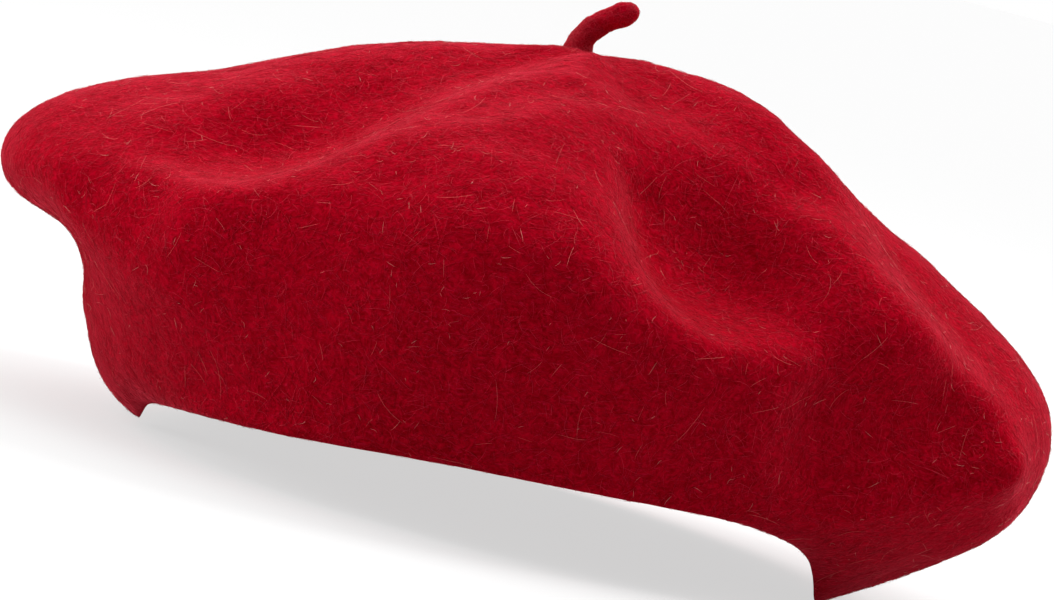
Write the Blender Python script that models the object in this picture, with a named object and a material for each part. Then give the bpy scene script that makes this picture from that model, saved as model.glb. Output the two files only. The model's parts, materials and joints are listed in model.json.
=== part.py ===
"""A felted wool beret in its worn, slouched shape, with everything that is sewn inside it.

The origin is the centre of the head opening, on the plane that the rim rests on. +X is the
wearer's left side, +Y the back of the head and +Z up. Lengths are in millimetres, and MM turns
them into Blender's metres. Angles are in degrees about +Z, from +X towards +Y.
"""
import math

import bmesh
import bpy
from mathutils import Vector

MM = 0.001

# The head opening: a rounded oval for a head of about 57 cm.
OPENING_HALF_WIDTH = 86.0
OPENING_HALF_DEPTH = 97.0
OPENING_SQUARENESS = 2.3

# Height of the rim's edge round the opening, by angle: arched over the brow, lowest over the ears.
RIM_HEIGHT = (
    (0, 0.5), (12, 4.5), (24, 6.5), (58, 6.5), (84, 0.0), (132, 0.0), (152, 2.5), (168, 4.2),
    (179, 3.4), (187, 0.0), (200, 6.8), (214, 9.1), (236, 12.1), (270, 17.7), (302, 19.6),
    (322, 16.1), (333, 10.8), (345, 0.0),
)

# The felt, which is a little thinner at its pressed edge.
FELT_THICKNESS = 2.8
EDGE_THICKNESS = 2.4
EDGE_HEIGHT = 12.0

# Half-sections of the crown by angle, from above the rim to near the top: (radius, height).
SECTIONS = {
    0: ((95, 4.3), (104, 10.5), (113, 17), (124, 27), (129.5, 47), (122, 66), (88, 87), (48, 111)),
    45: ((101, 9.5), (109, 14), (119, 22), (129, 32), (132, 47), (123, 65), (90, 86), (47, 109)),
    90: ((101, 5), (109, 10), (119, 18), (128, 30), (132, 45), (124, 63), (92, 84), (48, 105)),
    135: ((99, 5), (108, 13), (118, 24), (128, 36), (133, 50), (125, 66), (91, 84), (46, 105)),
    180: ((96, 5.5), (103, 17), (112, 39.5), (126, 45), (134, 55), (126, 68), (92, 85.5), (46, 105.5)),
    218: ((97, 16), (104, 27), (113, 38), (119, 48), (118, 58), (107, 63), (80, 71), (42, 97)),
    240: ((98, 20), (103, 32), (107, 46), (108, 58), (105, 68), (98, 75), (81, 87), (40, 104)),
    262: ((99, 24), (103, 38), (106, 52), (106, 64), (101, 71), (91, 78), (73, 93), (40, 107)),
    278: ((99, 26), (103, 36), (106, 47), (107, 58), (103, 68), (92, 75), (76, 87), (42, 104)),
    294: ((99, 26), (104, 34), (109, 43), (112, 52), (107, 59.5), (94, 61), (78, 71), (50, 96)),
    318: ((97, 20), (104, 28), (111, 36), (114, 46), (110, 58), (99, 69), (80, 81), (48, 100)),
    338: ((96, 10), (105, 16), (114, 24), (124, 37), (124, 50), (115, 62), (90, 80), (52, 105)),
}
CROWN_TOP = 114.0

# Folds in the felt: height of the fold (negative is a hollow), half-width, points that it follows.
FOLDS = (
    (3.0, 16, ((40, -15, 108), (55, -23, 100), (77, -37, 79), (93, -46, 67), (105, -52, 57))),
    (-2.5, 15, ((76, -16, 90), (96, -25, 76), (112, -31, 64))),
    (-3.0, 24, ((46, -58, 76), (34, -56, 84))),
    (1.5, 12, ((90, -58, 30), (107, -57, 42), (121, -36, 48))),
    (-2.5, 28, ((-30, 58, 98), (-62, 92, 72))),
    (-2.0, 24, ((45, 70, 92), (72, 92, 70))),
)

ANGLE_STEPS = 64
RINGS = 25

# The felt stalk: points along its middle, each with the radius there. It bends about its root.
STALK = (
    (-4.8, 6.0, 116.0, 3.0), (-3.0, 6.0, 118.9, 2.9), (-0.2, 6.0, 121.7, 3.0),
    (3.0, 6.0, 124.2, 3.0), (4.3, 6.0, 124.9, 2.9),
)
STALK_STEPS = 14
STALK_ROUNDNESS = 4

# A round cap's rings, and how much further than the last ring, in rings, its pole would lie.
CAP_RINGS = 3
CAP_SHORTFALL = 0.4

# The cross of thread that holds the stalk, under the felt.
TACK_CENTRE = (-4.8, 6.0, 108.8)
TACK_ARM = 4.0
TACK_WAIST = 1.1
TACK_POINTS = 32

# The ribbon sweatband inside the opening. Its lower edge, by angle, runs straighter than the rim
# does, so the two tips of felt over the ears hang below it.
BAND_HEIGHT = (
    (0, 8.5), (24, 9.0), (58, 8.1), (84, 1.6), (132, 1.6), (152, 5.0), (168, 8.0), (180, 9.0),
    (190, 9.5), (200, 10.5), (214, 12.0), (236, 14.6), (270, 20.1), (302, 22.1), (322, 18.6),
    (333, 14.5), (345, 10.0),
)
BAND_GAP = 0.7
BAND_THICKNESS = 0.9
BAND_WIDTH = 25.0
BAND_FACE = EDGE_THICKNESS + BAND_GAP + BAND_THICKNESS

# The zigzag seam along the ribbon, up from its lower edge.
SEAM_HEIGHT = 2.8
SEAM_SWING = 1.0
SEAM_POINTS = 108

THREAD_RADIUS = 0.25
THREAD_ROUNDNESS = 1
THREAD_GAP = 0.3

# The maker's label, on the band at the back of the head, up from the band's lower edge. Its
# stitches take turns between two distances, in degrees, from its ends.
LABEL_THICKNESS = 0.5
MAKER_ANGLE = 90.0
MAKER_HALF_ANGLE = 12.0
MAKER_FOOT = 5.9
MAKER_HEIGHT = 14.0
MAKER_STEPS = 8
MAKER_STITCH_INSETS = (0.5, 1.2)
MAKER_STITCHES = 8

# The care label, sewn by its upper edge to the felt and hanging against it: (radius, height). Its
# stitches take turns between two distances below that edge.
CARE_ANGLE = 122.0
CARE_TOP = (126.0, 50.0)
CARE_FOOT = (113.8, 28.5)
CARE_WIDTH = 20.0
CARE_STITCHES = 10
CARE_STITCH_DROPS = (0.8, 1.6)

# Finer points laid on each span of a curve before it is divided evenly.
WALK_STEPS = 12

# Edges sharper than this are not shaded smooth.
SHARP_ANGLE = 50.0


def monotone_slopes(gaps, rises):
    """Tangents of a closed curve through stations, flat wherever it turns, so it never overshoots."""
    slopes = []
    for i in range(len(gaps)):
        before = rises[i - 1] / gaps[i - 1]
        after = rises[i] / gaps[i]
        if before * after <= 0:
            slopes.append(0.0)
            continue
        near = 2 * gaps[i] + gaps[i - 1]
        far = gaps[i] + 2 * gaps[i - 1]
        slopes.append((near + far) / (near / before + far / after))
    return slopes


def round_curve(stations):
    """A smooth function of the angle, in degrees, through (angle, value) stations."""
    angles = [angle for angle, _ in stations]
    values = [value for _, value in stations]
    count = len(stations)
    gaps = [(angles[(i + 1) % count] - angles[i]) % 360 for i in range(count)]
    rises = [values[(i + 1) % count] - values[i] for i in range(count)]
    slopes = monotone_slopes(gaps, rises)

    def value_at(angle):
        angle = (angle - angles[0]) % 360 + angles[0]
        i = max(k for k in range(count) if angles[k] <= angle)
        t = (angle - angles[i]) / gaps[i]
        leave = slopes[i] * gaps[i]
        arrive = slopes[(i + 1) % count] * gaps[i]
        square = 3 * rises[i] - 2 * leave - arrive
        cubic = leave + arrive - 2 * rises[i]
        return values[i] + t * (leave + t * (square + t * cubic))

    return value_at


rim_height = round_curve(RIM_HEIGHT)
band_height = round_curve(BAND_HEIGHT)


def opening_point(angle, inward, height):
    """A point over the opening's oval, moved square to the oval into the opening."""
    c = math.cos(math.radians(angle))
    s = math.sin(math.radians(angle))
    power = OPENING_SQUARENESS
    spread = abs(c / OPENING_HALF_WIDTH) ** power + abs(s / OPENING_HALF_DEPTH) ** power
    radius = spread ** (-1 / power)
    across = math.copysign(abs(c) ** (power - 1) / OPENING_HALF_WIDTH ** power, c)
    along = math.copysign(abs(s) ** (power - 1) / OPENING_HALF_DEPTH ** power, s)
    outward = Vector((across, along, 0)).normalized()
    return Vector((radius * c, radius * s, height)) - outward * inward


def rim_point(angle, inward=0.0):
    """A point on the felt's edge."""
    return opening_point(angle, inward, rim_height(angle))


def band_point(angle, inward, height):
    """A point beside the ribbon, up from the ribbon's lower edge."""
    return opening_point(angle, inward, band_height(angle) + height)


def catmull(points, t):
    """A point on the smooth curve through the points, for t from 0 to the number of spans."""
    last = len(points) - 1
    i = min(int(t), last - 1)
    f = t - i
    p1 = points[i]
    p2 = points[i + 1]
    p0 = points[i - 1] if i > 0 else p1 * 2 - p2
    p3 = points[i + 2] if i + 2 <= last else p2 * 2 - p1
    turn = p0 * 2 - p1 * 5 + p2 * 4 - p3
    twist = p1 * 3 - p0 - p2 * 3 + p3
    return (p1 * 2 + (p2 - p0) * f + turn * f ** 2 + twist * f ** 3) / 2


def evenly(points, count):
    """count + 1 points spaced evenly along the smooth curve through the given ones."""
    fine = WALK_STEPS * (len(points) - 1)
    walk = [catmull(points, i * (len(points) - 1) / fine) for i in range(fine + 1)]
    travelled = [0.0]
    for before, after in zip(walk, walk[1:]):
        travelled.append(travelled[-1] + (after - before).length)
    spaced = [walk[0]]
    i = 0
    for k in range(1, count):
        target = travelled[-1] * k / count
        while travelled[i + 1] < target:
            i += 1
        part = (target - travelled[i]) / (travelled[i + 1] - travelled[i])
        spaced.append(walk[i].lerp(walk[i + 1], part))
    return spaced + [walk[-1]]


def crown_sections():
    """The outer skin before its folds: for each angle, points from the rim to the top."""
    places = range(len(SECTIONS[0]))
    radii = [round_curve([(a, row[k][0]) for a, row in SECTIONS.items()]) for k in places]
    heights = [round_curve([(a, row[k][1]) for a, row in SECTIONS.items()]) for k in places]
    sections = []
    for step in range(ANGLE_STEPS):
        angle = 360 * step / ANGLE_STEPS
        c = math.cos(math.radians(angle))
        s = math.sin(math.radians(angle))
        outline = [rim_point(angle)]
        outline += [Vector((radii[k](angle) * c, radii[k](angle) * s, heights[k](angle))) for k in places]
        outline.append(Vector((0, 0, CROWN_TOP)))
        sections.append(evenly(outline, RINGS))
    return sections


def distance_to_path(point, path):
    """The shortest distance from a point to a run of straight pieces."""
    nearest = math.inf
    for start, end in zip(path, path[1:]):
        run = end - start
        part = max(0.0, min(1.0, (point - start).dot(run) / run.length_squared))
        nearest = min(nearest, (point - start - run * part).length)
    return nearest


def fold_height(point):
    """How far the folds push the felt out at a point; each fades to nothing at its half-width."""
    total = 0.0
    for height, half_width, path in FOLDS:
        reach = distance_to_path(point, [Vector(p) for p in path]) / half_width
        if reach < 1:
            total += height * (1 - reach ** 2) ** 2
    return total


def skin_normals(rings, top):
    """Unit normals of a skin of closed rings that ends in one top point, and the top's own."""
    shell = bmesh.new()
    rows = [[shell.verts.new(p) for p in ring] for ring in rings]
    tip = shell.verts.new(top)
    skin_faces(shell, rows, tip)
    shell.normal_update()
    normals = [[v.normal.copy() for v in row] for row in rows]
    tip_normal = tip.normal.copy()
    shell.free()
    return normals, tip_normal


def skin_faces(shell, rows, tip):
    """Faces between neighbouring rings, from the first ring up to the tip, facing out."""
    for low, high in zip(rows, rows[1:]):
        for i in range(len(low)):
            j = (i + 1) % len(low)
            shell.faces.new((low[i], low[j], high[j], high[i]))
    for i in range(len(rows[-1])):
        shell.faces.new((rows[-1][i], rows[-1][(i + 1) % len(rows[-1])], tip))


def outer_skin():
    """The folded outer skin as rings from the rim up, with its top point."""
    sections = crown_sections()
    rings = [[section[k] for section in sections] for k in range(RINGS)]
    top = Vector((0, 0, CROWN_TOP))
    normals, top_normal = skin_normals(rings, top)
    for ring, ring_normals in zip(rings[1:], normals[1:]):
        for i, normal in enumerate(ring_normals):
            ring[i] = ring[i] + normal * fold_height(ring[i])
    return rings, top + top_normal * fold_height(top)


def inner_skin(rings, top):
    """The inside of the felt, ring for ring, and its top point."""
    normals, top_normal = skin_normals(rings, top)
    edge = [rim_point(360 * i / ANGLE_STEPS, EDGE_THICKNESS) for i in range(ANGLE_STEPS)]
    inner = [edge]
    for k in range(1, RINGS):
        ring = []
        for i, point in enumerate(rings[k]):
            full = min(1.0, (point.z - rings[0][i].z) / EDGE_HEIGHT)
            thickness = EDGE_THICKNESS + (FELT_THICKNESS - EDGE_THICKNESS) * full
            ring.append(point - normals[k][i] * thickness)
        inner.append(ring)
    return inner, top - top_normal * FELT_THICKNESS


def named_object(name, data, material):
    """A new object in the scene with its material."""
    data.materials.append(material)
    obj = bpy.data.objects.new(name, data)
    bpy.context.scene.collection.objects.link(obj)
    return obj


def mesh_object(name, shell, material, origin=(0, 0, 0)):
    """A smooth-shaded object from a bmesh in millimetres, with its origin where it pivots."""
    bmesh.ops.translate(shell, vec=-Vector(origin), verts=shell.verts)
    bmesh.ops.scale(shell, vec=(MM, MM, MM), verts=shell.verts)
    bmesh.ops.recalc_face_normals(shell, faces=shell.faces)
    mesh = bpy.data.meshes.new(name)
    shell.to_mesh(mesh)
    shell.free()
    mesh.shade_smooth()
    mesh.set_sharp_from_angle(angle=math.radians(SHARP_ANGLE))
    obj = named_object(name, mesh, material)
    obj.location = Vector(origin) * MM
    return obj


def material(name, colour, roughness):
    """A matt, non-metallic material of one colour."""
    made = bpy.data.materials.new(name)
    made.use_nodes = True
    shader = made.node_tree.nodes["Principled BSDF"]
    shader.inputs["Base Color"].default_value = (*colour, 1)
    shader.inputs["Roughness"].default_value = roughness
    shader.inputs["Metallic"].default_value = 0.0
    return made


def build_crown(felt):
    """The one seamless piece of felt: an outer skin, an inner skin, and the rim's edge between."""
    rings, top = outer_skin()
    inside, inside_top = inner_skin(rings, top)
    shell = bmesh.new()
    outer_rows = [[shell.verts.new(p) for p in ring] for ring in rings]
    skin_faces(shell, outer_rows, shell.verts.new(top))
    inner_rows = [[shell.verts.new(p) for p in ring] for ring in inside]
    before = set(shell.faces)
    skin_faces(shell, inner_rows, shell.verts.new(inside_top))
    bmesh.ops.reverse_faces(shell, faces=[f for f in shell.faces if f not in before])
    for i in range(ANGLE_STEPS):
        j = (i + 1) % ANGLE_STEPS
        shell.faces.new((inner_rows[0][i], inner_rows[0][j], outer_rows[0][j], outer_rows[0][i]))
    return mesh_object("crown_felt", shell, felt)


def tube(name, path, material, origin=(0, 0, 0), cyclic=False):
    """A round tube along (point, radius) pairs, closed into a loop or with filled ends."""
    curve = bpy.data.curves.new(name, "CURVE")
    curve.dimensions = "3D"
    curve.bevel_depth = MM
    curve.bevel_resolution = THREAD_ROUNDNESS
    curve.use_fill_caps = not cyclic
    spline = curve.splines.new("POLY")
    spline.points.add(len(path) - 1)
    spline.use_cyclic_u = cyclic
    for target, (point, radius) in zip(spline.points, path):
        target.co = (*((Vector(point) - Vector(origin)) * MM), 1)
        target.radius = radius
    obj = named_object(name, curve, material)
    obj.location = Vector(origin) * MM
    return obj


def thread(name, points, material, origin=(0, 0, 0), cyclic=False):
    """Sewing thread through the points."""
    return tube(name, [(point, THREAD_RADIUS) for point in points], material, origin, cyclic)


def round_cap(end, along, radius, reverse):
    """(point, radius) pairs that round off a tube's end, which points along the given direction."""
    pairs = []
    for ring in range(1, CAP_RINGS + 1):
        lift = math.pi / 2 * ring / (CAP_RINGS + CAP_SHORTFALL)
        pairs.append((end + along * radius * math.sin(lift), radius * math.cos(lift)))
    return pairs[::-1] if reverse else pairs


def build_stalk(felt):
    """The felt stalk: a curved, slightly clubbed tail with a ball for a root."""
    knots = [Vector(row) for row in STALK]
    spans = len(knots) - 1
    body = [catmull(knots, spans * i / STALK_STEPS) for i in range(STALK_STEPS + 1)]
    path = [(row.to_3d(), row.w) for row in body]
    root_way = (path[0][0] - path[1][0]).normalized()
    tip_way = (path[-1][0] - path[-2][0]).normalized()
    root = round_cap(path[0][0], root_way, path[0][1], reverse=True)
    tip = round_cap(path[-1][0], tip_way, path[-1][1], reverse=False)
    stalk = tube("stalk", root + path + tip, felt, origin=STALK[0][:3])
    stalk.data.bevel_resolution = STALK_ROUNDNESS


def build_tack(cotton):
    """Four loops of thread crossing under the stalk, inside the crown."""
    points = []
    for i in range(TACK_POINTS):
        turn = 2 * math.pi * i / TACK_POINTS
        reach = TACK_WAIST + (TACK_ARM - TACK_WAIST) * math.cos(2 * turn) ** 2
        points.append(Vector(TACK_CENTRE) + Vector((math.cos(turn), math.sin(turn), 0)) * reach)
    thread("stalk_tack", points, cotton, cyclic=True)


def build_sweatband(ribbon):
    """A flat ribbon ring that stands just inside the felt."""
    outside = EDGE_THICKNESS + BAND_GAP
    corners = ((outside, 0), (outside, BAND_WIDTH), (BAND_FACE, BAND_WIDTH), (BAND_FACE, 0))
    shell = bmesh.new()
    rows = []
    for inward, height in corners:
        angles = [360 * i / ANGLE_STEPS for i in range(ANGLE_STEPS)]
        rows.append([shell.verts.new(band_point(angle, inward, height)) for angle in angles])
    for k in range(len(rows)):
        low = rows[k]
        high = rows[(k + 1) % len(rows)]
        for i in range(ANGLE_STEPS):
            j = (i + 1) % ANGLE_STEPS
            shell.faces.new((low[i], low[j], high[j], high[i]))
    mesh_object("sweatband", shell, ribbon)


def build_sweatband_seam(cotton):
    """The zigzag of thread that sews the ribbon's lower edge to the felt."""
    inward = BAND_FACE + THREAD_GAP + THREAD_RADIUS
    points = []
    for i in range(SEAM_POINTS):
        swing = SEAM_SWING if i % 2 else -SEAM_SWING
        points.append(band_point(360 * i / SEAM_POINTS, inward, SEAM_HEIGHT + swing))
    thread("sweatband_seam", points, cotton, cyclic=True)


def build_maker_label(satin, cotton):
    """A blank woven label on the band, sewn down at both ends."""
    back = BAND_FACE + THREAD_GAP
    front = back + LABEL_THICKNESS
    top = MAKER_FOOT + MAKER_HEIGHT
    shell = bmesh.new()
    slices = []
    for i in range(MAKER_STEPS + 1):
        angle = MAKER_ANGLE + MAKER_HALF_ANGLE * (2 * i / MAKER_STEPS - 1)
        ends = ((back, MAKER_FOOT), (back, top), (front, top), (front, MAKER_FOOT))
        slices.append([shell.verts.new(band_point(angle, inward, height)) for inward, height in ends])
    for before, after in zip(slices, slices[1:]):
        for k in range(4):
            n = (k + 1) % 4
            shell.faces.new((before[k], before[n], after[n], after[k]))
    shell.faces.new(slices[0])
    shell.faces.new(slices[-1])
    mesh_object("maker_label", shell, satin)
    inward = front + THREAD_GAP + THREAD_RADIUS
    for side, sign in (("left", -1), ("right", 1)):
        points = []
        for i in range(MAKER_STITCHES):
            angle = MAKER_ANGLE + sign * (MAKER_HALF_ANGLE - MAKER_STITCH_INSETS[i % 2])
            height = MAKER_FOOT + MAKER_HEIGHT * (i + 0.5) / MAKER_STITCHES
            points.append(band_point(angle, inward, height))
        thread("maker_label_stitch_" + side, points, cotton)


def build_care_label(satin, cotton):
    """A small blank label that hangs by its upper edge inside the back of the crown."""
    turn = math.radians(CARE_ANGLE)
    out = Vector((math.cos(turn), math.sin(turn), 0))
    along = Vector((-math.sin(turn), math.cos(turn), 0))
    top = out * CARE_TOP[0] + Vector((0, 0, CARE_TOP[1]))
    foot = out * CARE_FOOT[0] + Vector((0, 0, CARE_FOOT[1]))
    inside = (foot - top).cross(along).normalized()
    if inside.dot(out) > 0:
        inside = -inside
    shell = bmesh.new()
    outline = []
    for side, end in ((-1, top), (1, top), (1, foot), (-1, foot)):
        outline.append(end + along * side * CARE_WIDTH / 2 - inside * LABEL_THICKNESS / 2)
    sheet = shell.faces.new([shell.verts.new(p) for p in outline])
    raised = bmesh.ops.extrude_face_region(shell, geom=[sheet])["geom"]
    moved = [v for v in raised if isinstance(v, bmesh.types.BMVert)]
    bmesh.ops.translate(shell, vec=inside * LABEL_THICKNESS, verts=moved)
    mesh_object("care_label", shell, satin, origin=top)
    down = (foot - top).normalized()
    lift = LABEL_THICKNESS / 2 + THREAD_GAP + THREAD_RADIUS
    points = []
    for i in range(CARE_STITCHES):
        drop = down * CARE_STITCH_DROPS[i % 2]
        side = along * CARE_WIDTH * ((i + 0.5) / CARE_STITCHES - 0.5)
        points.append(top + drop + side + inside * lift)
    thread("care_label_stitch", points, cotton, origin=top)


def clear_scene():
    """Removes whatever the new file came with."""
    for obj in list(bpy.data.objects):
        bpy.data.objects.remove(obj, do_unlink=True)


def main():
    """Makes each piece in turn, with its own material."""
    clear_scene()
    red_felt = material("red_felt", (0.30, 0.008, 0.02), 0.95)
    dark_felt = material("dark_felt", (0.16, 0.006, 0.012), 0.95)
    ribbon = material("ribbon", (0.12, 0.006, 0.012), 0.6)
    satin = material("satin", (0.75, 0.72, 0.66), 0.4)
    red_cotton = material("red_cotton", (0.25, 0.008, 0.02), 0.7)
    cream_cotton = material("cream_cotton", (0.7, 0.66, 0.58), 0.7)
    build_crown(red_felt)
    build_stalk(dark_felt)
    build_tack(red_cotton)
    build_sweatband(ribbon)
    build_sweatband_seam(red_cotton)
    build_maker_label(satin, cream_cotton)
    build_care_label(satin, cream_cotton)


main()
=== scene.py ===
"""The look of a red felted wool beret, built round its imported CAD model.

Lengths are in metres, in the CAD frame: +X is the wearer's left, +Y the back of the head, +Z up.
"""
import json
import math

import bmesh
import bpy
import numpy as np
from mathutils import Matrix, Vector, noise
from mathutils.bvhtree import BVHTree


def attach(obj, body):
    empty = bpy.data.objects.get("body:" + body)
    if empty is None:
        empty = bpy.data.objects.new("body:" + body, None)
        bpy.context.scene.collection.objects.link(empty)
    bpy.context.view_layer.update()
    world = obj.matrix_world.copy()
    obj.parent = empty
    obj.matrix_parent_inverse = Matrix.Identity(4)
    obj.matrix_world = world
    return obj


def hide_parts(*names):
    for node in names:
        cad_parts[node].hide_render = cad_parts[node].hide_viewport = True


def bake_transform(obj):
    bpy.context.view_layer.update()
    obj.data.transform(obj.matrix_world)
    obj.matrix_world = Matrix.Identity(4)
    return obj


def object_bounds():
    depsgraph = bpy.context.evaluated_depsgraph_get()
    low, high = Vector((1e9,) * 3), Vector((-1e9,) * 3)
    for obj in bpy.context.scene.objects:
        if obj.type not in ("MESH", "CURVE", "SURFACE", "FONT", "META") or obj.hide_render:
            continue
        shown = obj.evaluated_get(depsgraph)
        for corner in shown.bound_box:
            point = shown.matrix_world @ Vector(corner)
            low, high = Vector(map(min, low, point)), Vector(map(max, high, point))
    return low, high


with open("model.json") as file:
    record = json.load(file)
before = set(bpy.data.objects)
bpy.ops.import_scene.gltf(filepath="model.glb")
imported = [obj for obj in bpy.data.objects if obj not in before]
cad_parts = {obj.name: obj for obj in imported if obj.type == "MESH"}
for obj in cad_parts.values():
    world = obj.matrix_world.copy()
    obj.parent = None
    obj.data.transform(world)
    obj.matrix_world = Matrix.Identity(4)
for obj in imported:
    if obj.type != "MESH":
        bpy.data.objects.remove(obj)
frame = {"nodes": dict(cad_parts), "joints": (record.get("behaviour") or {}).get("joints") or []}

MM = 0.001
cad_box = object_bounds()
CENTRE = (cad_box[0] + cad_box[1]) / 2

# A point in the hollow for the head, which the inside of the felt faces.
HOLLOW_MIDDLE = CENTRE + Vector((0, 0, -12)) * MM

# ---------------------------------------------------------------- camera, floor and lights

# The camera looks along +Y, tipped down a little and rolled, from far off through a long lens in mm.
CAMERA_AIM = CENTRE + Vector((0.4, -12.6, -12.2)) * MM
CAMERA_ELEVATION = math.radians(4)
CAMERA_ROLL = math.radians(14.8)
CAMERA_DISTANCE = 1.5
CAMERA_LENS = 211.0

FLOOR_RADIUS = 30.0
FLOOR_GAP = 0.3 * MM

# The floor's grey and its own glow, as the camera sees it and as it lights the beret.
FLOOR_SEEN = (0.30, 0.62)
FLOOR_LIGHTING = (0.4, 0.18)

# The sky lights the beret from all round, most of all from one direction, above and behind it.
SKY_BRIGHTEST = (-0.2, 0.5, 0.84)
SKY_FALLOFF = 2
SKY_WEAKEST = 0.15
SKY_STRONGEST = 2.6

# Round soft boxes: name, place in metres and power in watts.
SOFT_BOXES = (("side_left", (-1.5, 0.0, 0.35), 10), ("side_right", (1.2, 0.6, 1.2), 17))
SOFT_BOX_SIZE = 0.7


def stage_camera():
    """A long lens in front of the beret, a little above the rim and leaning with the slouch."""
    data = bpy.data.cameras.new("camera")
    data.lens = CAMERA_LENS
    data.sensor_width = 36
    data.clip_end = 60
    camera = bpy.data.objects.new("camera", data)
    bpy.context.scene.collection.objects.link(camera)
    back = Vector((0, -math.cos(CAMERA_ELEVATION), math.sin(CAMERA_ELEVATION)))
    upright = (-back).to_track_quat("-Z", "Y").to_matrix()
    camera.matrix_world = Matrix.Translation(CAMERA_AIM + back * CAMERA_DISTANCE) @ (
        upright @ Matrix.Rotation(CAMERA_ROLL, 3, "Z")).to_4x4()
    bpy.context.scene.camera = camera


def stage_soft_boxes():
    """The lights beside the beret, each facing its middle."""
    for name, place, power in SOFT_BOXES:
        data = bpy.data.lights.new(name, "AREA")
        data.shape = "DISK"
        data.size = SOFT_BOX_SIZE
        data.energy = power
        light = bpy.data.objects.new(name, data)
        bpy.context.scene.collection.objects.link(light)
        light.location = place
        light.rotation_mode = "QUATERNION"
        light.rotation_quaternion = (CENTRE - Vector(place)).to_track_quat("-Z", "Y")


def mix_for_camera(tree, lighting, seen, output):
    """Joins two shaders: the one that lights the beret, and the one that the camera sees."""
    path = tree.nodes.new("ShaderNodeLightPath")
    mix = tree.nodes.new("ShaderNodeMixShader")
    tree.links.new(path.outputs["Is Camera Ray"], mix.inputs[0])
    tree.links.new(lighting.outputs[0], mix.inputs[1])
    tree.links.new(seen.outputs[0], mix.inputs[2])
    tree.links.new(mix.outputs[0], output.inputs[0])


def stage_floor():
    """A plain pale floor just under the beret."""
    shell = bmesh.new()
    bmesh.ops.create_circle(shell, cap_ends=True, segments=96, radius=FLOOR_RADIUS)
    mesh = bpy.data.meshes.new("floor")
    shell.to_mesh(mesh)
    shell.free()
    floor = bpy.data.objects.new("floor", mesh)
    floor.location = (0, 0, cad_box[0].z - FLOOR_GAP)
    bpy.context.scene.collection.objects.link(floor)
    paint = bpy.data.materials.new("floor_paint")
    paint.use_nodes = True
    tree = paint.node_tree
    tree.nodes.remove(tree.nodes["Principled BSDF"])
    layers = []
    for grey, strength in (FLOOR_LIGHTING, FLOOR_SEEN):
        shade = tree.nodes.new("ShaderNodeBsdfDiffuse")
        shade.inputs["Color"].default_value = (grey, grey, grey, 1)
        glow = tree.nodes.new("ShaderNodeEmission")
        glow.inputs["Strength"].default_value = strength
        layer = tree.nodes.new("ShaderNodeAddShader")
        tree.links.new(shade.outputs[0], layer.inputs[0])
        tree.links.new(glow.outputs[0], layer.inputs[1])
        layers.append(layer)
    mix_for_camera(tree, *layers, tree.nodes["Material Output"])
    mesh.materials.append(paint)


def stage_sky():
    """A white sky: plain as the camera sees it, and graded as it lights the beret."""
    world = bpy.data.worlds.new("sky")
    bpy.context.scene.world = world
    world.use_nodes = True
    tree = world.node_tree
    sky = tree.nodes["Background"]
    sky.inputs["Color"].default_value = (1, 1, 1, 1)
    place = tree.nodes.new("ShaderNodeTexCoord")
    toward = tree.nodes.new("ShaderNodeVectorMath")
    toward.operation = "DOT_PRODUCT"
    toward.inputs[1].default_value = SKY_BRIGHTEST
    nearness = tree.nodes.new("ShaderNodeMapRange")
    falloff = tree.nodes.new("ShaderNodeMath")
    falloff.operation = "POWER"
    falloff.inputs[1].default_value = SKY_FALLOFF
    tree.links.new(place.outputs["Generated"], toward.inputs[0])
    tree.links.new(toward.outputs["Value"], nearness.inputs["Value"])
    tree.links.new(nearness.outputs[0], falloff.inputs[0])
    strength = tree.nodes.new("ShaderNodeMapRange")
    strength.inputs["To Min"].default_value = SKY_WEAKEST
    strength.inputs["To Max"].default_value = SKY_STRONGEST
    tree.links.new(falloff.outputs[0], strength.inputs["Value"])
    tree.links.new(strength.outputs[0], sky.inputs["Strength"])
    seen = tree.nodes.new("ShaderNodeBackground")
    seen.inputs["Color"].default_value = (1, 1, 1, 1)
    mix_for_camera(tree, sky, seen, tree.nodes["World Output"])


# ---------------------------------------------------------------- materials


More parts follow.
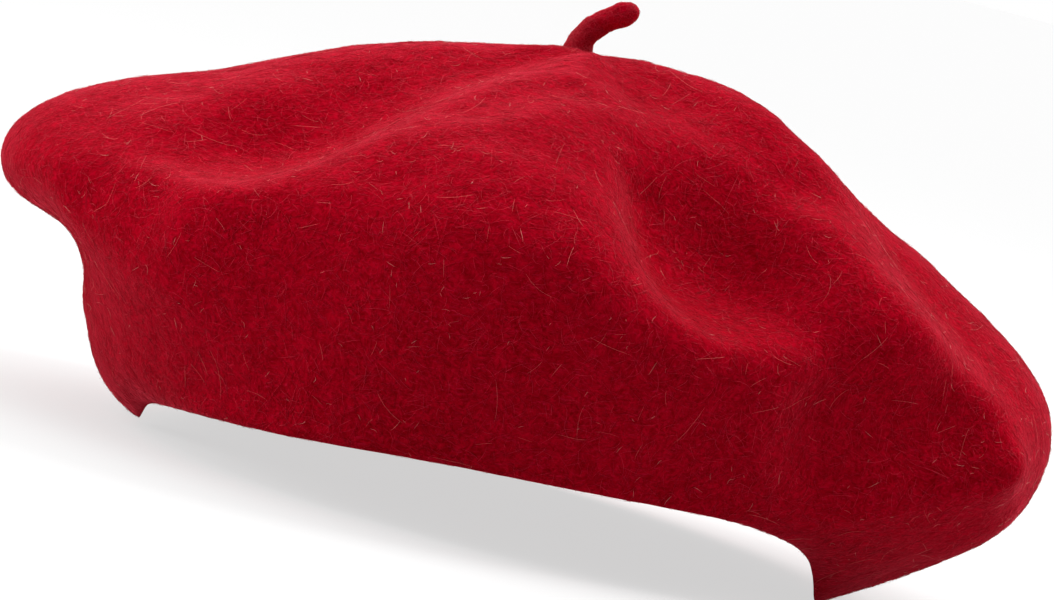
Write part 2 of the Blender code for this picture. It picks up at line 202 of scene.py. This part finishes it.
class Shader:
    """A material's node tree with short ways to add and join nodes."""

    def __init__(self, name, roughness, **fixed):
        self.made = bpy.data.materials.new(name)
        self.made.use_nodes = True
        self.tree = self.made.node_tree
        self.surface = self.tree.nodes["Principled BSDF"]
        self.surface.inputs["Roughness"].default_value = roughness
        for socket, value in fixed.items():
            self.surface.inputs[socket.replace("_", " ")].default_value = value
        self.place = self.add("TexCoord").outputs["Object"]

    def add(self, kind, settings=None, **inputs):
        """A node; an input is a value or another node's output, by name or as i0, i1, ..."""
        node = self.tree.nodes.new("ShaderNode" + kind)
        for key, value in (settings or {}).items():
            setattr(node, key, value)
        for key, value in inputs.items():
            numbered = key[0] == "i" and key[1:].isdigit()
            socket = node.inputs[int(key[1:]) if numbered else key.replace("_", " ")]
            if isinstance(value, bpy.types.NodeSocket):
                self.tree.links.new(value, socket)
            else:
                socket.default_value = value
        return node

    def maths(self, operation, a, b=0.0):
        """The result of one operation on one value or two."""
        return self.add("Math", {"operation": operation}, i0=a, i1=b).outputs[0]

    def grade(self, value, low, high, to_low=0.0, to_high=1.0):
        """The value moved from one range to another, and kept inside it."""
        return self.add("MapRange", {"clamp": True}, i0=value, i1=low, i2=high, i3=to_low,
                        i4=to_high).outputs[0]

    def grain(self, where, scale, detail=2.0, rough=0.5):
        """Noise with so many waves in a metre; its outputs are a value and a colour."""
        return self.add("TexNoise", Vector=where, Scale=scale, Detail=detail, Roughness=rough)

    def blend(self, share, first, second):
        """A colour that goes from the first to the second as the share goes from 0 to 1."""
        first = (*first, 1) if isinstance(first, tuple) else first
        second = (*second, 1) if isinstance(second, tuple) else second
        node = self.add("Mix", {"data_type": "RGBA"})
        for socket, value in ((0, share), (6, first), (7, second)):
            if isinstance(value, bpy.types.NodeSocket):
                self.tree.links.new(value, node.inputs[socket])
            else:
                node.inputs[socket].default_value = value
        return node.outputs[2]

    def colour(self, value):
        """Gives the surface its base colour."""
        self.tree.links.new(value, self.surface.inputs["Base Color"])

    def relief(self, height, depth, strength):
        """Bump from a height of 0 to 1 that stands for a depth in metres."""
        bump = self.add("Bump", Strength=strength, Distance=depth, Height=height)
        self.tree.links.new(bump.outputs[0], self.surface.inputs["Normal"])


# Directions of the felt's fibres, as turns about X, Y and Z in radians.
FIBRE_TURNS = ((0.3, 0.2, 0.4), (0.9, 1.3, 1.2), (1.8, 0.5, 2.2), (0.2, 2.4, 2.9), (2.5, 1.7, 0.8),
               (1.2, 2.9, 1.9))

# The size of the fibres drawn on the felt, how far they are pushed out of line, and their relief.
FIBRE_LENGTH = 4.5 * MM
FIBRE_WIDTH = 0.32 * MM
FIBRE_SWAY = 3.5 * MM
FELT_DEPTH = 0.3 * MM

# Waves in a metre of the felt's patterns, from its broad mottling down to its matting.
CLOUD_SCALE = 60.0
SWAY_SCALE = 260.0
CLOT_SCALE = 380.0
MAT_SCALE = 1100.0


def fibre_web(shader, where):
    """The brightest of several sets of streaks, each like fibres that lie along one direction."""
    web = None
    for turn in FIBRE_TURNS:
        laid = shader.add("Mapping", Vector=where, Rotation=turn,
                          Scale=(1 / FIBRE_LENGTH, 1 / FIBRE_WIDTH, 1 / FIBRE_WIDTH)).outputs[0]
        streaks = shader.grain(laid, 1.0, 1.0).outputs[0]
        web = streaks if web is None else shader.maths("MAXIMUM", web, streaks)
    return shader.grade(web, 0.66, 0.80)


def swayed_place(shader):
    """The place on the object, pushed about, so that straight streaks come out wavy."""
    swirl = shader.grain(shader.place, SWAY_SCALE, 1.0).outputs[1]
    centred = shader.add("VectorMath", {"operation": "SUBTRACT"}, i0=swirl, i1=(0.5, 0.5, 0.5))
    pushed = shader.add("VectorMath", {"operation": "SCALE"}, i0=centred.outputs[0], Scale=FIBRE_SWAY)
    where = shader.add("VectorMath", {"operation": "ADD"}, i0=shader.place, i1=pushed.outputs[0])
    return where.outputs[0]


def felt(name, ground, deep, pale):
    """Brushed wool felt: matted fibres that lie every way, mottled, with a soft sheen."""
    shader = Shader(name, 0.9, Sheen_Weight=1.0, Sheen_Roughness=0.3,
                    Sheen_Tint=(1.0, 0.08, 0.13, 1), Specular_IOR_Level=0.0)
    where = swayed_place(shader)
    fibres_seen = fibre_web(shader, where)
    mat = shader.grade(shader.grain(where, MAT_SCALE, 3.0, 0.6).outputs[0], 0.34, 0.62)
    cloud = shader.grade(shader.grain(shader.place, CLOUD_SCALE, 3.0, 0.6).outputs[0], 0.35, 0.65)
    clots = shader.grade(shader.grain(where, CLOT_SCALE, 2.0, 0.55).outputs[0], 0.38, 0.58, 0.5, 0.0)
    body = shader.blend(mat, deep, ground)
    body = shader.blend(shader.maths("MULTIPLY", cloud, 0.3), body, ground)
    body = shader.blend(clots, body, deep)
    shader.colour(shader.blend(shader.maths("MULTIPLY", fibres_seen, 0.6), body, pale))
    height = shader.maths("ADD", shader.maths("MULTIPLY", fibres_seen, 0.35),
                          shader.maths("MULTIPLY", mat, 0.65))
    shader.relief(height, FELT_DEPTH, 0.5)
    return shader.made


def hair_material(name, colour, roughness, gloss):
    """Wool fibre of one colour, with a little gloss."""
    return Shader(name, roughness, Specular_IOR_Level=gloss, Base_Color=(*colour, 1)).made


# The trim's fine patterns: waves in a metre, ribs round the whole ribbon, and how deep each is.
PLY_SCALE = 900.0
WEAVE_SCALE = 2500.0
CROSS_SCALE = 3800.0
FLOAT_SCALES = (400, 400, 5200)
RIBS_ROUND = 700
YARN_DEPTH = 0.08 * MM
RIB_DEPTH = 0.12 * MM


def thread_material(name, colour, shade):
    """Twisted cotton: plies that wind round the thread, a little darker between them."""
    shader = Shader(name, 0.7, Sheen_Weight=0.2, Sheen_Roughness=0.4)
    wound = shader.add("TexWave", {"bands_direction": "DIAGONAL"}, Vector=shader.place,
                       Scale=PLY_SCALE, Distortion=2.0, Detail=1.0).outputs[1]
    shader.colour(shader.blend(wound, shade, colour))
    shader.relief(wound, YARN_DEPTH, 0.6)
    return shader.made


def ring_angle(shader):
    """The angle about +Z, in radians."""
    parts = shader.add("SeparateXYZ", i0=shader.place)
    return shader.maths("ARCTAN2", parts.outputs[1], parts.outputs[0])


def grosgrain_material():
    """Ribbed ribbon: fine ribs across its width, a close weave, and a soft silk-like gloss."""
    shader = Shader("grosgrain", 0.5, Sheen_Weight=0.3, Sheen_Roughness=0.4,
                    Sheen_Tint=(1.0, 0.2, 0.25, 1))
    ribs = shader.maths("SINE", shader.maths("MULTIPLY", ring_angle(shader), RIBS_ROUND / math.tau))
    ribs = shader.grade(ribs, -1.0, 1.0)
    weave = shader.grain(shader.place, WEAVE_SCALE).outputs[0]
    shade = shader.blend(ribs, (0.15, 0.002, 0.008), (0.34, 0.004, 0.018))
    shader.colour(shader.blend(shader.maths("MULTIPLY", weave, 0.4), shade, (0.40, 0.010, 0.030)))
    shader.relief(shader.maths("ADD", ribs, shader.maths("MULTIPLY", weave, 0.3)), RIB_DEPTH, 0.9)
    return shader.made


def satin_material():
    """Woven satin: long floats of yarn one way, with a close-set cross weave and soft shine."""
    shader = Shader("satin_weave", 0.35, Sheen_Weight=0.2, Specular_IOR_Level=0.5)
    laid = shader.add("Mapping", Vector=shader.place, Scale=FLOAT_SCALES).outputs[0]
    floats = shader.grain(laid, 1.0).outputs[0]
    cross = shader.grain(shader.place, CROSS_SCALE).outputs[0]
    shader.colour(shader.blend(floats, (0.66, 0.62, 0.54), (0.83, 0.80, 0.73)))
    shader.relief(shader.maths("ADD", floats, shader.maths("MULTIPLY", cross, 0.5)), YARN_DEPTH, 0.6)
    return shader.made


# ---------------------------------------------------------------- meshes from the CAD nodes

# Points this close are one. Two triangles become a four-sided face where they bend by less than the
# first angle, and the face is skewed by less than the second.
SAME_POINT = 0.01 * MM
FLAT_ENOUGH = math.radians(50)
SQUARE_ENOUGH = math.radians(70)


def new_object(name, mesh, material):
    """A smooth object of one material in the scene."""
    mesh.materials.clear()
    mesh.materials.append(material)
    mesh.shade_smooth()
    obj = bpy.data.objects.new(name, mesh)
    bpy.context.scene.collection.objects.link(obj)
    return obj


def refined(node, name, material, rounded, straight=0):
    """A finely divided copy of a CAD node, which it replaces; straight divisions keep it crisp."""
    shell = bmesh.new()
    shell.from_mesh(frame["nodes"][node].data)
    bmesh.ops.remove_doubles(shell, verts=shell.verts, dist=SAME_POINT)
    bmesh.ops.join_triangles(shell, faces=shell.faces, angle_face_threshold=FLAT_ENOUGH,
                             angle_shape_threshold=SQUARE_ENOUGH)
    mesh = bpy.data.meshes.new(name)
    shell.to_mesh(mesh)
    shell.free()
    obj = new_object(name, mesh, material)
    for kind, levels in (("SIMPLE", straight), ("CATMULL_CLARK", rounded)):
        if levels:
            divided = obj.modifiers.new(kind.lower(), "SUBSURF")
            divided.subdivision_type = kind
            divided.levels = divided.render_levels = levels
    graph = bpy.context.evaluated_depsgraph_get()
    finished = bpy.data.meshes.new_from_object(obj.evaluated_get(graph), depsgraph=graph)
    obj.modifiers.clear()
    obj.data = finished
    finished.name = name
    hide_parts(node)
    return obj


def points_of(mesh):
    """The mesh's points, as an array with a row for each."""
    flat = np.empty(len(mesh.vertices) * 3, np.float32)
    mesh.vertices.foreach_get("co", flat)
    return flat.reshape(-1, 3).astype(float)


def move_points(mesh, points):
    """Puts the mesh's points at new places."""
    mesh.vertices.foreach_set("co", points.astype(np.float32).ravel())
    mesh.update()


def near_path(points, path):
    """The shortest distance from each point to a run of straight pieces."""
    nearest = np.full(len(points), np.inf)
    for start, end in zip(np.array(path[:-1], float), np.array(path[1:], float)):
        run = end - start
        part = np.clip((points - start) @ run / (run @ run), 0, 1)
        nearest = np.minimum(nearest, np.linalg.norm(points - start - part[:, None] * run, axis=1))
    return nearest


def relax(mesh, weights, rounds):
    """Moves each point towards the middle of its neighbours, by its weight, so many times."""
    edges = np.empty(len(mesh.edges) * 2, np.int32)
    mesh.edges.foreach_get("vertices", edges)
    a, b = edges.reshape(-1, 2).T
    points = points_of(mesh)
    count = np.bincount(a, minlength=len(points)) + np.bincount(b, minlength=len(points))
    for _ in range(rounds):
        total = np.zeros_like(points)
        np.add.at(total, a, points[b])
        np.add.at(total, b, points[a])
        points += (total / count[:, None] - points) * weights[:, None]
    move_points(mesh, points)


def lumpiness(spot, scale, octaves):
    """Smooth noise at a place: so many waves in a metre, with finer and weaker ones over them."""
    return noise.fractal(spot * scale, 0.6, 2, octaves)


def sculpt(mesh, strokes):
    """Raises or sinks the felt along paths; both its skins move alike, and keep their thickness."""
    for height, half_width, path, way in strokes:
        points = points_of(mesh) / MM
        reach = near_path(points, path) / half_width
        push = height * np.clip(1 - reach ** 2, 0, 1) ** 2
        move_points(mesh, (points + push[:, None] * np.array(way)) * MM)


# ---------------------------------------------------------------- fibres

# A hair's smallest distance from the felt, and how much of its lift is the same all along it.
HAIR_GAP = 0.03 * MM
LEVEL_SHARE = 0.3

# How much a hair's length varies, and the least and most of the usual length it can be.
LENGTH_SPREAD = 0.45
LENGTH_LIMITS = (0.4, 2.4)

# How much a hair's bend changes at each step, as a share of its curl.
WANDER_SHARE = 0.4

# How thick a hair is at its root and at its tip, as a share of its middle, and how much that varies:
# the thinnest, and what the thickest has over it.
ROOT_SHARE = 0.4
TIP_SHARE = 0.15
THINNEST = 0.7
THICKNESS_RANGE = 0.6


def outer_triangles(obj, middle=None):
    """A mesh's points and triangles; those that look towards the middle are inside, and left out."""
    mesh = obj.data
    points = points_of(mesh)
    mesh.calc_loop_triangles()
    corners = np.empty(len(mesh.loop_triangles) * 3, np.int32)
    mesh.loop_triangles.foreach_get("vertices", corners)
    corners = corners.reshape(-1, 3)
    if middle is not None:
        a, b, c = (points[corners[:, k]] for k in range(3))
        kept = (np.cross(b - a, c - a) * ((a + b + c) / 3 - np.array(middle))).sum(1) > 0
        corners = corners[kept]
    return points, corners


class Ground:
    """The outside of one or two felt pieces, for fibres to lie on, all of it or only near a point."""

    def __init__(self, obj, near=None, also=None):
        points, corners = outer_triangles(obj, HOLLOW_MIDDLE if obj.name == "crown" else None)
        if also is not None:
            more_points, more_corners = outer_triangles(also, HOLLOW_MIDDLE)
            corners = np.concatenate([corners, more_corners + len(points)])
            points = np.concatenate([points, more_points])
        if near is not None:
            spot, reach = near
            middle = points[corners].mean(1)
            corners = corners[np.linalg.norm(middle - np.array(spot), axis=1) < reach]
        self.points = points
        self.corners = corners
        a, b, c = (points[corners[:, k]] for k in range(3))
        self.share = np.cumsum(np.linalg.norm(np.cross(b - a, c - a), axis=1))
        self.share /= self.share[-1]
        self.tree = BVHTree.FromPolygons(points.tolist(), corners.tolist())

    def scatter(self, count, rng):
        """Random points spread evenly over the outside."""
        chosen = self.corners[np.searchsorted(self.share, rng.random(count))]
        u = np.sqrt(rng.random((count, 1)))
        v = rng.random((count, 1))
        a, b, c = (self.points[chosen[:, k]] for k in range(3))
        return a * (1 - u) + b * u * (1 - v) + c * u * v


def laid_line(ground, start, rng, reach, lift, curl, steps):
    """Points of one hair that wanders over the felt, with its ends lifted a little."""
    spot, normal, _, _ = ground.tree.find_nearest(Vector(start))
    way = Vector(rng.normal(size=3))
    way = (way - normal * way.dot(normal)).normalized()
    bend = float(rng.normal(0, curl))
    low = HAIR_GAP + lift * LEVEL_SHARE * float(rng.random())
    rise = lift * float(rng.random()) ** 2
    line = []
    for k in range(steps + 1):
        line.append(tuple(spot + normal * (low + rise * (2 * k / steps - 1) ** 2)))
        bend += float(rng.normal(0, curl * WANDER_SHARE))
        way = Matrix.Rotation(bend / steps, 3, normal) @ way
        spot, normal, _, _ = ground.tree.find_nearest(spot + way * reach / steps)
        way = (way - normal * way.dot(normal)).normalized()
    return line


def fibres(name, ground, count, colour, seed, length, radius, lift, curl, steps=5):
    """Fine hairs laid on the felt as one mesh, each a three-sided tube that thins to its ends."""
    rng = np.random.default_rng(seed)
    rows = []
    for start in ground.scatter(count, rng):
        reach = length * float(np.clip(rng.lognormal(0, LENGTH_SPREAD), *LENGTH_LIMITS))
        rows.append(laid_line(ground, start, rng, reach, lift, curl, steps))
    rows = np.array(rows)
    heads = np.gradient(rows, axis=1)
    heads /= np.linalg.norm(heads, axis=2, keepdims=True) + 1e-12
    side = np.cross(heads, rng.normal(size=(count, 1, 3)))
    side /= np.linalg.norm(side, axis=2, keepdims=True) + 1e-12
    up = np.cross(side, heads)
    taper = np.array([ROOT_SHARE] + [1.0] * (steps - 1) + [TIP_SHARE]).reshape(1, -1, 1)
    thick = radius * (THINNEST + THICKNESS_RANGE * rng.random((count, 1, 1))) * taper
    turns = [2 * math.pi * k / 3 for k in range(3)]
    corners = [rows + (side * math.cos(t) + up * math.sin(t)) * thick for t in turns]
    points = np.stack(corners, axis=2).reshape(-1, 3)
    ring = ((0, 1), (1, 2), (2, 0))
    wall = [(3 * k + c, 3 * k + n, 3 * k + 3 + n, 3 * k + 3 + c) for k in range(steps) for c, n in ring]
    tips = [(2, 1, 0), (3 * steps, 3 * steps + 1, 3 * steps + 2)]
    first = (np.arange(count) * 3 * (steps + 1)).reshape(-1, 1, 1)
    faces = [(first + np.array(part)).reshape(-1, len(part[0])).tolist() for part in (wall, tips)]
    mesh = bpy.data.meshes.new(name)
    mesh.from_pydata(points.tolist(), [], faces[0] + faces[1])
    return new_object(name, mesh, colour)


# ---------------------------------------------------------------- the crown

# The top is evened out within this distance of the Z axis, where it is above this height.
TOP_REACH = 45 * MM
TOP_HEIGHT = 90 * MM
TOP_WEIGHT = 0.8
TOP_ROUNDS = 60

# All the felt above this height is evened out a little; below it, its lumps fade towards the rim.
RIM_HEIGHT = 20 * MM
BODY_WEIGHT = 0.5
BODY_ROUNDS = 6

# The felt's small lumps: waves in a metre, their height, and the point that they swell away from.
LUMP_SCALE = 130
LUMP_HEIGHT = 0.35 * MM
SWELL_MIDDLE = CENTRE + Vector((0, 0, -20)) * MM

# Strokes over the CAD's felt: height (negative sinks), half-width, path and direction, in mm.
UP_FRONT = (0.2, -0.75, 0.63)
STROKES = (
    # The dent in front of the stalk: the side behind it, its floor, and the lip below it.
    (2.0, 20, ((16, -38, 103), (38, -34, 99)), UP_FRONT),
    (-4.5, 26, ((30, -68, 80), (40, -66, 75), (50, -62, 75)), UP_FRONT),
    (-2.6, 13, ((19, -62, 88), (21, -70, 80), (28, -77, 72)), UP_FRONT),
    (1.0, 12, ((16, -91, 73), (24, -94, 66), (34, -92, 61)), UP_FRONT),
    (-2.4, 18, ((32, -101, 57), (46, -98, 54), (60, -92, 50)), (0.3, -1.0, 0.0)),
    # The shelf that the lobe's shoulder makes, the hollow under it, and the low lip.
    (8.0, 24, ((62, -50, 82), (70, -56, 75), (84, -59, 70)), UP_FRONT),
    (-4.5, 22, ((52, -95, 45), (64, -88, 43), (74, -82, 43)), (0.4, -0.9, 0.0)),
    (-9.0, 26, ((80, -79, 44), (91, -70, 46), (102, -61, 49)), (0.4, -0.9, 0.0)),
    (1.8, 10, ((75, -54, 83), (84, -62, 75), (94, -59, 66), (103, -51, 60)), (0.5, -0.6, 0.6)),
    (-2.2, 14, ((68, -78, 52), (80, -75, 51), (92, -67, 50)), (0.4, -0.9, 0.0)),
    (7.0, 12, ((88, -70, 28), (103, -61, 37), (116, -47, 46)), (0.7, -0.7, 0.1)),
    # The crest over the wall, the swell of the wall under it, and the ridge up to the stalk.
    (1.2, 11, ((-98, -58, 65), (-90, -64, 64), (-74, -82, 64)), (-0.3, -0.7, 0.5)),
    (-4.4, 15, ((-105, -56, 54), (-93, -70, 53)), (-0.6, -0.7, 0.2)),
    (1.2, 16, ((-50, -95, 66), (-16, -101, 69), (12, -100, 67)), (0.0, -0.9, 0.4)),
    (4.4, 24, ((-16, -90, 78), (0, -92, 77)), (0.0, -0.6, 0.8)),
    (2.4, 28, ((-24, -104, 52), (8, -105, 57)), (0.0, -1.0, 0.0)),
    (1.5, 14, ((-42, -92, 25), (-12, -99, 27), (14, -98, 29)), (0.0, -1.0, 0.0)),
    (-1.6, 12, ((-26, -60, 96), (-14, -50, 102), (-4, -42, 106)), (0.0, -0.3, 1.0)),
    # The dish on the wearer's right.
    (3.4, 22, ((-92, -33, 73), (-76, -24, 80)), (-0.3, -0.5, 0.8)),
    # The outline of the slouch: on the wearer's right, over the top and on the wearer's left.
    (2.0, 40, ((-130, -10, 60), (-125, 20, 58)), (-1.0, 0.0, 0.0)),
    (1.6, 26, ((-116, -8, 74), (-106, -4, 79)), (-0.2, 0.0, 1.0)),
    (1.0, 14, ((-127, -8, 50), (-125, 4, 48)), (-0.8, 0.0, -0.6)),
    (-3.4, 18, ((-114, -32, 44), (-112, -6, 41)), (-1.0, 0.0, 0.0)),
    (-0.9, 30, ((-90, -6, 86), (-60, -8, 97), (-40, -8, 104)), (0.0, 0.0, 1.0)),
    (1.7, 26, ((0, -4, 114), (20, -8, 114), (32, -9, 111)), (0.0, 0.0, 1.0)),
    (-3.4, 28, ((56, 4, 108), (68, 6, 98)), (0.7, 0.0, 0.7)),
    (2.2, 34, ((121, -38, 50), (126, -10, 46)), (1.0, 0.0, 0.0)),
    (2.2, 16, ((113, -31, 25), (121, -30, 33)), (0.8, -0.2, -0.6)),
    (-1.0, 10, ((101, -22, 13), (106, -22, 15)), (0.8, -0.2, -0.6)),
)


def add_lumps(mesh):
    """Small soft lumps all over but at the rim, the same on both of the felt's skins."""
    points = points_of(mesh)
    away = points - np.array(SWELL_MIDDLE)
    away /= np.linalg.norm(away, axis=1, keepdims=True)
    lumps = np.array([lumpiness(Vector(p), LUMP_SCALE, 3) for p in points])
    kept = np.clip(points[:, 2] / RIM_HEIGHT, 0, 1)
    move_points(mesh, points + (lumps * LUMP_HEIGHT * kept)[:, None] * away)


def build_crown():
    """The felted crown, sculpted and smoothed over the CAD's shape."""
    red = felt("brushed_felt", (0.47, 0.001, 0.013), (0.22, 0.0003, 0.003), (0.62, 0.010, 0.045))
    crown = refined("crown_felt", "crown", red, 2)
    points = points_of(crown.data)
    near_stalk = np.clip(1 - np.linalg.norm(points[:, :2], axis=1) / TOP_REACH, 0, 1)
    relax(crown.data, TOP_WEIGHT * np.sqrt(near_stalk * (points[:, 2] > TOP_HEIGHT)), TOP_ROUNDS)
    sculpt(crown.data, STROKES)
    above_rim = np.clip((points_of(crown.data)[:, 2] - RIM_HEIGHT) / RIM_HEIGHT, 0, 1)
    relax(crown.data, BODY_WEIGHT * above_rim, BODY_ROUNDS)
    add_lumps(crown.data)
    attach(crown, "hat")
    return crown


# ---------------------------------------------------------------- the nap

# The seeds of the layers of hair on the crown count up from the first.
FIRST_SEED = 11


def build_nap(crown):
    """Fine hairs all over the crown, with a few longer salmon ones and short pale ones, whose
    near-white colour is partly a painted glint.
    """
    ground = Ground(crown)
    red = hair_material("red_hair", (0.58, 0.004, 0.026), 0.6, 0.1)
    deep = hair_material("deep_hair", (0.34, 0.001, 0.009), 0.6, 0.1)
    rose = hair_material("rose_hair", (0.74, 0.022, 0.055), 0.55, 0.2)
    salmon = hair_material("salmon_hair", (0.88, 0.12, 0.12), 0.4, 0.4)
    # Partly painted highlight: the short pale hairs are made near-white so that they also stand in for
    # glints of light on the nap.
    pale = hair_material("pale_hair_glint", (0.97, 0.40, 0.34), 0.35, 0.5)
    # Each layer's name, count and material, its hairs' length in metres, their radius and lift in mm,
    # how much they curl, and how many straight steps each has.
    layers = (
        ("nap_red_a", 9800, red, 0.0048, 0.036, 0.30, 0.6, 3),
        ("nap_red_b", 9800, red, 0.0036, 0.034, 0.40, 0.9, 3),
        ("nap_deep", 5000, deep, 0.0022, 0.036, 0.12, 0.8, 3),
        ("nap_rose", 8000, rose, 0.0036, 0.030, 0.45, 0.7, 3),
        ("guard_hairs", 560, salmon, 0.0054, 0.028, 0.7, 0.3, 5),
        ("glinting_pale_hairs", 1000, pale, 0.0016, 0.026, 0.7, 0.3, 3),
    )
    for seed, layer in enumerate(layers, start=FIRST_SEED):
        name, count, colour, length, radius, lift, curl, steps = layer
        hairs = fibres(name, ground, count, colour, seed=seed, length=length, radius=radius * MM,
                       lift=lift * MM, curl=curl, steps=steps)
        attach(hairs, "hat")


# ---------------------------------------------------------------- the stalk

# The stalk's middle line from its pivot, with its radius, in mm; it starts inside the crown.
STALK_LINE = (
    (-0.2, 0, -5.4, 5.0), (-0.2, 0, -4.4, 4.4), (-0.2, 0, -3.3, 3.9), (-0.1, 0, -1.6, 3.4),
    (0.1, 0, 0.1, 3.1), (1.7, 0, 3.1, 2.85), (4.4, 0, 5.9, 2.8), (7.5, 0, 8.1, 2.95),
    (8.9, 0, 8.9, 2.8), (10.4, 0, 9.6, 2.2), (11.3, 0, 10.0, 1.4), (11.8, 0, 10.2, 0.4),
)
STALK_RINGS = 56
STALK_SIDES = 28

# The stalk's lumps: waves in a metre and height.
BUMP_SCALE = 260
BUMP_HEIGHT = 0.30 * MM

# The hairs that hide the join start within this distance of the pivot, in mm.
ROOT_REACH = 6.0


def catmull(hull, f):
    """A value on the smooth curve between the middle two of four, f of the way along."""
    p0, p1, p2, p3 = hull
    turn = p0 * 2 - p1 * 5 + p2 * 4 - p3
    twist = p1 * 3 - p0 - p2 * 3 + p3
    return (p1 * 2 + (p2 - p0) * f + turn * f ** 2 + twist * f ** 3) / 2


def stalk_rings(pivot):
    """The middle and radius of each ring, on a smooth curve through the stalk's line."""
    knots = [Vector((x, y, z)) * MM + pivot for x, y, z, _ in STALK_LINE]
    radii = [r * MM for *_, r in STALK_LINE]
    spans = len(knots) - 1
    rings = []
    for i in range(STALK_RINGS + 1):
        along = spans * i / STALK_RINGS
        k = min(int(along), spans - 1)
        near = (max(k - 1, 0), k, k + 1, min(k + 2, spans))
        rings.append((catmull([knots[n] for n in near], along - k),
                      catmull([radii[n] for n in near], along - k)))
    return rings


def stalk_mesh(pivot):
    """The stalk's closed skin, lumpy like rolled felt."""
    shell = bmesh.new()
    line = stalk_rings(pivot)
    across = Vector((0, 1, 0))
    rings = []
    for i, (spot, radius) in enumerate(line):
        ahead = (line[min(i + 1, STALK_RINGS)][0] - line[max(i - 1, 0)][0]).normalized()
        over = across.cross(ahead).normalized()
        ring = []
        for k in range(STALK_SIDES):
            turn = 2 * math.pi * k / STALK_SIDES
            out = across * math.cos(turn) + over * math.sin(turn)
            bump = lumpiness(spot + out * radius, BUMP_SCALE, 2) * BUMP_HEIGHT
            ring.append(shell.verts.new(spot + out * (radius + bump)))
        rings.append(ring)
    for low, high in zip(rings, rings[1:]):
        for k in range(STALK_SIDES):
            n = (k + 1) % STALK_SIDES
            shell.faces.new((low[k], low[n], high[n], high[k]))
    shell.faces.new(rings[0])
    shell.faces.new(rings[-1])
    bmesh.ops.recalc_face_normals(shell, faces=shell.faces)
    mesh = bpy.data.meshes.new("stalk_tail")
    shell.to_mesh(mesh)
    shell.free()
    return mesh


def build_stalk(crown):
    """The rolled felt stalk with its nap; it grows out of the crown from its pivot, and curves over."""
    pivot = Vector(next(j for j in frame["joints"] if j["name"] == "stalk_bend")["pos_m"])
    # Painted light: the stalk's felt and its hair are lighter than the crown's, to make up for the
    # shade that the stalk sits in.
    rolled = felt("stalk_felt_lightened", (0.58, 0.002, 0.021), (0.30, 0.0005, 0.005), (0.72, 0.018, 0.060))
    stalk = new_object("stalk_tail", stalk_mesh(pivot), rolled)
    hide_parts("stalk")
    red = hair_material("stalk_hair_lightened", (0.66, 0.010, 0.035), 0.5, 0.2)
    nap = fibres("stalk_nap", Ground(stalk), 700, red, seed=41, length=0.0040, radius=0.032 * MM,
                 lift=0.25 * MM, curl=0.7)
    root = Ground(stalk, near=(pivot, ROOT_REACH * MM), also=crown)
    root_nap = fibres("stalk_root_nap", root, 900, red, seed=43, length=0.0050,
                      radius=0.034 * MM, lift=0.30 * MM, curl=0.7)
    for piece in (stalk, nap, root_nap):
        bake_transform(piece)


# ---------------------------------------------------------------- the trim


def build_trim():
    """The ribbon, labels and thread sewn inside."""
    red_thread = thread_material("red_thread", (0.34, 0.004, 0.02), (0.12, 0.001, 0.006))
    cream_thread = thread_material("cream_thread", (0.80, 0.76, 0.66), (0.48, 0.44, 0.36))
    band = refined("sweatband", "sweatband_ribbon", grosgrain_material(), 1, 2)
    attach(band, "hat")
    satin = satin_material()
    for node, name, body, flat, held in (
            ("maker_label", "maker_label_satin", "hat", (0.0384, 0.014), "laid"),
            ("care_label", "care_label_satin", "care_label", (0.020, 0.0248), "hung")):
        label = refined(node, name, satin, 1, 3)
        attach(label, body)
    for node, body, colour in (
            ("stalk_tack", "hat", red_thread), ("sweatband_seam", "hat", red_thread),
            ("maker_label_stitch_left", "hat", cream_thread),
            ("maker_label_stitch_right", "hat", cream_thread),
            ("care_label_stitch", "care_label", cream_thread)):
        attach(refined(node, node + "_thread", colour, 1), body)


stage_camera()
stage_floor()
stage_sky()
stage_soft_boxes()
bpy.context.scene.view_settings.view_transform = "Standard"

crown_piece = build_crown()
build_nap(crown_piece)
build_stalk(crown_piece)
build_trim()
